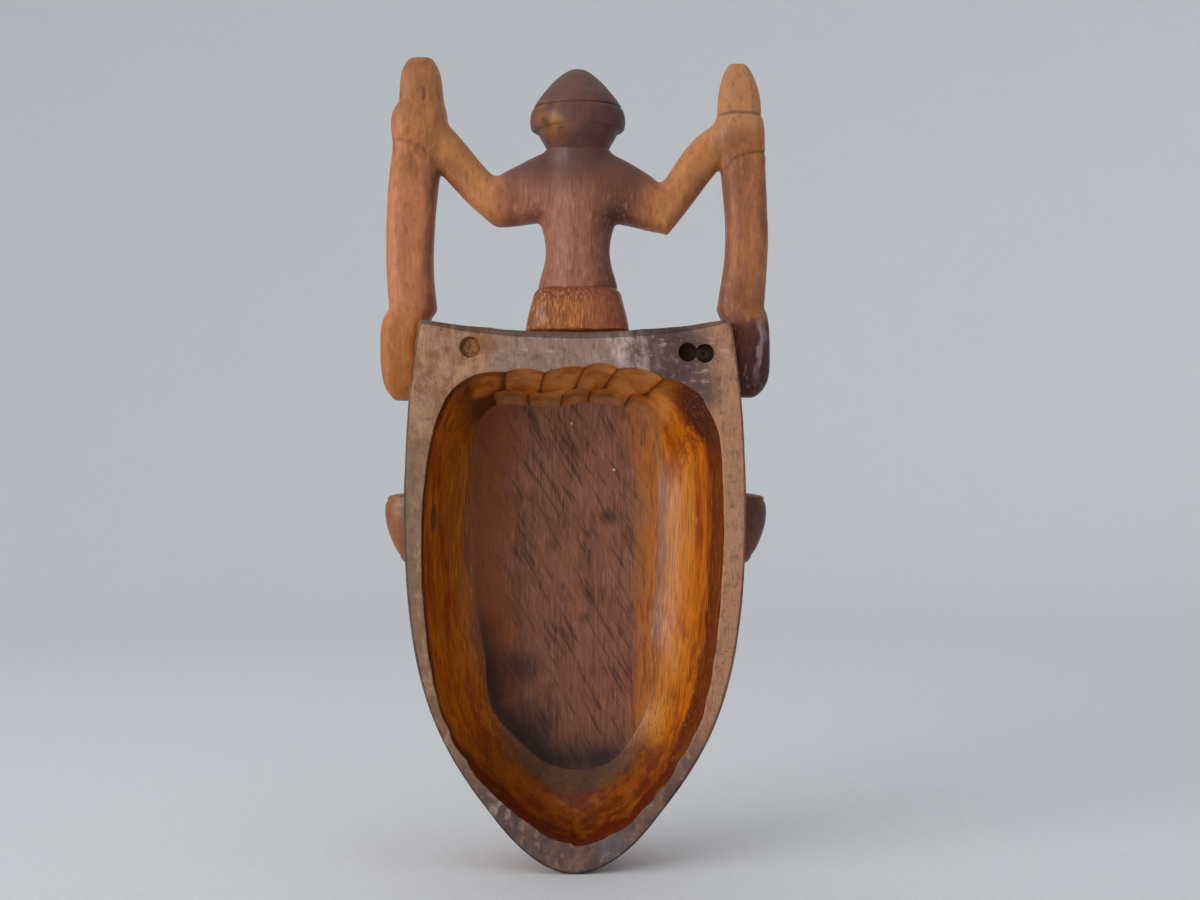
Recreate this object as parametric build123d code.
from build123d import *
import os

# Carved wooden wall mask with a crest figure, in millimetres.
#
# The mask hangs on a wall: +Z is up, the wall is on the +Y side, the face looks along -Y, and +X is
# the mask's own left. The origin is on the flat rim that rests on the wall, in the middle of the
# rim's top band, level with the hanging holes.
#
# The carving is divided where the carver's cuts divide it. Each piece is a closed solid, and
# neighbours meet face to face.

LEFT = 1
RIGHT = -1

# ---------------------------------------------------------------- driving dimensions

# Mask body
CHIN_DROP = 256.0           # from the hanging line down to the tip of the chin
TOP_MIDDLE = 10.5           # height of the concave top edge at mid-width
TOP_CORNER = 16.5           # height of the top corners
TOP_HALF_WIDTH = 76.5       # half width at the top corners
SIDE_POINTS = [
    (81.6, -23.0), (84.0, -85.0), (79.0, -146.0), (65.4, -190.0), (42.0, -226.0), (19.5, -249.0),
]
BODY_CENTRE = -112.0        # height that the front of the mask closes in on
BODY_LAYERS = [             # (distance in front of the wall, share of width, share of height)
    (0.0, 1.0, 1.0),
    (20.0, 0.985, 0.99),
    (42.0, 0.92, 0.94),
    (60.0, 0.79, 0.83),
    (72.0, 0.58, 0.66),
]

# Hollow of the back
MOUTH = {                   # (x outwards, z) down each side of the mouth
    LEFT: [(42.0, -10.5), (57.0, -15.5), (66.5, -30.0), (72.3, -55.0), (75.0, -100.0), (71.5, -146.0),
           (62.5, -181.0), (48.0, -206.0), (27.4, -226.5)],
    RIGHT: [(41.0, -12.5), (57.0, -19.5), (67.5, -32.0), (72.0, -55.0), (72.5, -97.0), (68.6, -146.0),
            (59.5, -183.0), (44.0, -210.0), (23.0, -232.0)],
}
MOUTH_MIDDLE = 0.0
MOUTH_TOP = -8.6
MOUTH_BOTTOM = -240.3
FLOOR = {                   # the same for the floor, which lies a little to the mask's left
    LEFT: [(28.0, -25.0), (45.0, -27.0), (51.5, -38.0), (53.5, -68.0), (53.0, -105.0), (48.5, -143.0),
           (39.5, -170.0), (27.5, -190.0), (15.5, -203.5)],
    RIGHT: [(20.0, -25.5), (32.0, -28.0), (38.8, -38.0), (41.3, -65.0), (40.5, -105.0), (37.0, -143.0),
            (32.5, -170.0), (26.0, -190.0), (17.0, -203.0)],
}
FLOOR_MIDDLE = 3.0
FLOOR_TOP = -25.0
FLOOR_BOTTOM = -208.0
HOLLOW_DEPTH = 50.0
BULGE_DEPTH = 27.0          # where the walls are half way in
BULGE_SHARE = 0.66          # how near the half-way section still is to the mouth

# Hanging holes: one on the left, a pair drilled into each other on the right
LEFT_HOLE = (51.5, 2.7)
LEFT_HOLE_RADIUS = 5.3
LEFT_HOLE_DEPTH = 3.5
RIGHT_HOLES = [(-55.4, 0.3), (-63.7, -0.3)]
RIGHT_HOLE_RADIUS = 4.7
RIGHT_HOLE_DEPTH = 7.0

# Face relief on the front of the mask
NOSE_TOP = -98.0
NOSE_TIP = -160.0
NOSE_STATIONS = [(NOSE_TOP, 8.0, 8.0), (-130.0, 13.0, 18.0), (NOSE_TIP, 24.0, 32.0)]
EYE_HEIGHT = -112.0
EYE_OFFSET = 27.0
EYE_RADII = (14.0, 6.0, 6.0)
MOUTH_RELIEF_HEIGHT = -187.0
MOUTH_RELIEF_RADII = (17.0, 12.0, 6.5)
FACE_FRONT = 71.0

# Ears
EAR_OUTLINE = [(89.0, -68.6), (96.3, -78.5), (93.7, -91.4), (87.0, -106.8)]
EAR_FRONT = 38.0
EAR_BACK = 15.0
EAR_ROUND = 4.0

# Crest: every piece is centred about this far in front of the wall
CREST_DEPTH = 26.0
PEDESTAL_FOOT = 3.5
PEDESTAL_TOP = 34.0
SHOULDER_TOP = 103.0
CAP_BASE = 114.7
CAP_TOP = 144.5
CAP_RADIUS = 24.1
FIGURE_SHIFT = -1.0         # the figure stands a little to the mask's right

# Figure: (z, width, depth), from the bottom up
PEDESTAL_STATIONS = [
    (PEDESTAL_FOOT, 51.5, 43.3), (16.0, 50.8, 41.2), (29.0, 44.5, 39.0), (PEDESTAL_TOP, 42.5, 35.0),
]
TORSO_STATIONS = [
    (PEDESTAL_TOP, 40.0, 31.0), (42.5, 35.6, 28.0), (52.0, 32.4, 25.8), (67.4, 38.6, 27.8),
    (83.8, 46.4, 28.8), (96.2, 41.2, 27.8), (SHOULDER_TOP, 30.4, 24.7),
]
HEAD_STATIONS = [(SHOULDER_TOP, 30.4, 30.0), (108.6, 36.0, 40.2), (CAP_BASE, 40.2, 44.3)]

# Arms: (x outwards, z, thickness across the limb, depth, direction of the run in the XZ plane)
ELBOW = {
    LEFT: (39.5, 77.7, 26.8, 20.6, (1.0, 0.10)),
    RIGHT: (43.9, 74.0, 26.8, 20.6, (1.0, 0.20)),
}
UPPER_ARM = {
    LEFT: [
        (12.5, 85.9, 34.0, 24.7, (1.0, -0.30)), (28.7, 80.2, 28.8, 22.7, (1.0, -0.25)), ELBOW[LEFT],
    ],
    RIGHT: [
        (12.0, 85.9, 34.0, 24.7, (1.0, -0.25)), (29.5, 79.7, 28.8, 22.7, (1.0, -0.30)), ELBOW[RIGHT],
    ],
}
FOREARM = {
    LEFT: [
        ELBOW[LEFT], (51.9, 88.0, 18.5, 18.5, (0.68, 0.73)),
        (63.2, 100.8, 19.6, 19.6, (0.70, 0.71)), (74.5, 111.6, 20.6, 19.6, (0.80, 0.60)),
    ],
    RIGHT: [
        ELBOW[RIGHT], (55.3, 87.4, 18.5, 18.5, (0.66, 0.75)),
        (67.6, 102.9, 19.6, 19.6, (0.70, 0.71)), (76.5, 109.0, 19.6, 19.6, (0.80, 0.60)),
    ],
}

# Horns: (z, x outwards, width, depth), from the foot on the temple up to the tip
TEMPLE = {LEFT: (22.9, 81.8, 23.7, 25.8), RIGHT: (22.9, 83.1, 23.7, 25.8)}
GRIP = {LEFT: (99.3, 80.1, 24.7, 22.7), RIGHT: (99.3, 84.4, 22.2, 22.7)}
FIST_TOP = {LEFT: (127.1, 77.8, 22.7, 22.7), RIGHT: (120.9, 82.5, 21.6, 22.7)}
FOOT = {
    LEFT: [
        (-22.8, 85.3, 10.3, 16.5), (-14.0, 86.4, 19.6, 27.8), (1.4, 87.4, 20.6, 31.9),
        (13.8, 86.4, 21.6, 30.9), TEMPLE[LEFT],
    ],
    RIGHT: [
        (-21.2, 85.1, 10.3, 16.5), (-12.0, 86.7, 19.6, 27.8), (1.4, 86.9, 20.6, 31.9),
        (13.8, 86.1, 21.6, 30.9), TEMPLE[RIGHT],
    ],
}
HORN = {
    LEFT: [
        TEMPLE[LEFT], (43.0, 83.5, 23.1, 23.7), (63.2, 83.4, 23.7, 22.7), (83.4, 82.1, 24.3, 22.7),
        GRIP[LEFT],
    ],
    RIGHT: [
        TEMPLE[RIGHT], (43.0, 85.3, 21.4, 23.7), (63.2, 86.2, 20.8, 22.7), (83.4, 85.1, 21.6, 22.7),
        GRIP[RIGHT],
    ],
}
FIST = {
    LEFT: [GRIP[LEFT], (111.6, 79.0, 26.8, 27.8), (121.9, 78.6, 26.8, 26.8), FIST_TOP[LEFT]],
    RIGHT: [GRIP[RIGHT], (110.6, 82.7, 24.7, 26.8), (117.3, 82.5, 23.7, 25.8), FIST_TOP[RIGHT]],
}
HORN_TIP = {
    LEFT: [FIST_TOP[LEFT], (138.9, 78.1, 20.2, 20.6), (145.6, 78.1, 16.5, 17.5), (149.5, 78.1, 11.3, 12.4)],
    RIGHT: [FIST_TOP[RIGHT], (133.3, 82.3, 19.4, 20.6), (141.5, 81.8, 14.4, 16.5), (146.8, 81.6, 8.2, 9.3)],
}
CORNER_SHARE = 0.32         # corner radius of a horn's section, as a share of its smaller side
LIMB_CORNER_SHARE = 0.42    # the same for an arm's section
SIDE_NAMES = {LEFT: "left", RIGHT: "right"}


# ---------------------------------------------------------------- helpers

def wall_plane(front):
    """Plane parallel to the wall, a distance in front of it: its X is +X and its Y is +Z."""
    return Plane(origin=(0, -front, 0), x_dir=(1, 0, 0), z_dir=(0, -1, 0))


def body_outline(width_share, height_share):
    """The mask's outline: a concave top edge and one curve down to the chin and up again."""
    def place(x, z):
        return x * width_share, BODY_CENTRE + (z - BODY_CENTRE) * height_share

    left = [place(TOP_HALF_WIDTH, TOP_CORNER)] + [place(x, z) for x, z in SIDE_POINTS]
    chin = place(0, -CHIN_DROP)
    right = [(-x, z) for x, z in reversed(left)]
    top = ThreePointArc(right[-1], place(0, TOP_MIDDLE), left[0])
    sides = Spline(left + [chin] + right)
    return make_face([top, sides])


def outline_points(sides, middle, top, bottom):
    """Points round an outline, from the middle of its top down the left side and up the right one."""
    right = [(-x, z) for x, z in reversed(sides[RIGHT])]
    return [(middle, top)] + sides[LEFT] + [(middle, bottom)] + right


def between(points_a, points_b, share):
    """Points part of the way from one list to another: a share of 1 gives the first list."""
    pairs = zip(points_a, points_b)
    return [(a[0] * share + b[0] * (1 - share), a[1] * share + b[1] * (1 - share)) for a, b in pairs]


def level_section(side, z, x, width, depth):
    """A level, round-cornered section of a horn."""
    corner = CORNER_SHARE * min(width, depth)
    plane = Plane(origin=(side * x, -CREST_DEPTH, z))
    return plane * RectangleRounded(width, depth, corner)


def horn_piece(side, stations):
    """A piece of a horn, lofted through its level sections."""
    return loft([level_section(side, *station) for station in stations])


def limb_section(side, x, z, thickness, depth, run):
    """A round-cornered section of a limb that runs in the plane of the crest."""
    direction = Vector(side * run[0], 0, run[1])
    across = Vector(side * run[1], 0, -run[0])
    plane = Plane(origin=(side * x, -CREST_DEPTH, z), x_dir=across, z_dir=direction)
    return plane * RectangleRounded(thickness, depth, LIMB_CORNER_SHARE * min(thickness, depth))


def limb(side, stations):
    """A limb, lofted through its sections."""
    return loft([limb_section(side, *station) for station in stations])


def column(stations, shape):
    """A piece of the figure, lofted through level sections that are centred on the figure."""
    origins = [(FIGURE_SHIFT, -CREST_DEPTH, z) for z, _, _ in stations]
    return loft([Plane(origin=o) * shape(width, depth) for o, (_, width, depth) in zip(origins, stations)])


def oval_shape(width, depth):
    return Ellipse(width / 2, depth / 2)


def block_shape(width, depth):
    return RectangleRounded(width, depth, 0.3 * depth)


def ellipsoid(centre, radii):
    return Pos(*centre) * scale(Sphere(1.0), by=radii)


def hanging_hole(place, radius, depth):
    """A blind hole drilled into the rim from the wall side."""
    plane = Plane(origin=(place[0], -depth, place[1]), x_dir=(1, 0, 0), z_dir=(0, 1, 0))
    return extrude(plane * Circle(radius), 2 * depth)


# ---------------------------------------------------------------- pieces

def mask_body():
    """The mask's outer form, solid: outlines parallel to the wall that close in towards the face."""
    return loft([wall_plane(front) * body_outline(width, height) for front, width, height in BODY_LAYERS])


def mask_hollow():
    """The space carved out of the back."""
    mouth = outline_points(MOUTH, MOUTH_MIDDLE, MOUTH_TOP, MOUTH_BOTTOM)
    floor = outline_points(FLOOR, FLOOR_MIDDLE, FLOOR_TOP, FLOOR_BOTTOM)
    levels = [(0, mouth), (BULGE_DEPTH, between(mouth, floor, BULGE_SHARE)), (HOLLOW_DEPTH, floor)]
    return loft([wall_plane(front) * make_face(Spline(points, periodic=True)) for front, points in levels])


def face_relief():
    """Nose, eyes and mouth, standing out from the front of the mask."""
    nose = loft([Plane(origin=(0, -FACE_FRONT, z)) * Ellipse(width / 2, depth / 2)
                 for z, width, depth in NOSE_STATIONS])
    relief = nose + ellipsoid((0, -FACE_FRONT, MOUTH_RELIEF_HEIGHT), MOUTH_RELIEF_RADII)
    for side in (LEFT, RIGHT):
        relief += ellipsoid((side * EYE_OFFSET, -FACE_FRONT, EYE_HEIGHT), EYE_RADII)
    return relief


def mask_shell(body, hollow):
    """The mask itself: the body with its face, hollowed from the back, with the hanging holes."""
    shell = body + face_relief() - hollow
    shell -= hanging_hole(LEFT_HOLE, LEFT_HOLE_RADIUS, LEFT_HOLE_DEPTH)
    for place in RIGHT_HOLES:
        shell -= hanging_hole(place, RIGHT_HOLE_RADIUS, RIGHT_HOLE_DEPTH)
    return shell


def ear(side, body):
    """A half-drop ear on the side of the mask."""
    root = TOP_HALF_WIDTH - 6
    points = [(side * x, z) for x, z in EAR_OUTLINE]
    top, bottom = (side * root, EAR_OUTLINE[0][1]), (side * root, EAR_OUTLINE[-1][1])
    rim = Spline(points)
    outline = make_face([rim, Polyline(points[-1], bottom, top, points[0])])
    solid = extrude(wall_plane(EAR_FRONT) * outline, -(EAR_FRONT - EAR_BACK))
    edges = solid.edges().filter_by(GeomType.BSPLINE)
    return fillet(edges, EAR_ROUND) - body


def cap():
    """A pointed cap with a rounded brim, turned about the figure's upright axis."""
    rise = CAP_TOP - CAP_BASE
    edge = (CAP_RADIUS, 0.22 * rise)
    shoulder = (0.62 * CAP_RADIUS, 0.74 * rise)
    side = Spline((0.9 * CAP_RADIUS, 0), edge, shoulder, (1.5, rise))
    profile = Plane.XZ * make_face([
        Line((0, 0), (0.9 * CAP_RADIUS, 0)),
        side,
        Line((1.5, rise), (0, rise)),
        Line((0, rise), (0, 0)),
    ])
    return Pos(FIGURE_SHIFT, -CREST_DEPTH, CAP_BASE) * revolve(profile, Axis.Z)


def build():
    """Every piece, by its node name."""
    body = mask_body()
    torso = column(TORSO_STATIONS, oval_shape)
    pieces = {
        "mask_shell": mask_shell(body, mask_hollow()),
        "pedestal": column(PEDESTAL_STATIONS, block_shape) - body,
        "torso": torso,
        "head": column(HEAD_STATIONS, oval_shape),
        "cap": cap(),
    }
    for side, name in SIDE_NAMES.items():
        horn = horn_piece(side, HORN[side])
        fist = horn_piece(side, FIST[side])
        pieces[name + "_ear"] = ear(side, body)
        pieces[name + "_horn_foot"] = horn_piece(side, FOOT[side]) - body
        pieces[name + "_horn"] = horn
        pieces[name + "_fist"] = fist
        pieces[name + "_horn_tip"] = horn_piece(side, HORN_TIP[side])
        pieces[name + "_upper_arm"] = limb(side, UPPER_ARM[side]) - torso
        pieces[name + "_forearm"] = limb(side, FOREARM[side]) - fist - horn
    return pieces


os.makedirs("parts", exist_ok=True)
for node, shape in build().items():
    export_step(shape, f"parts/{node}.step")
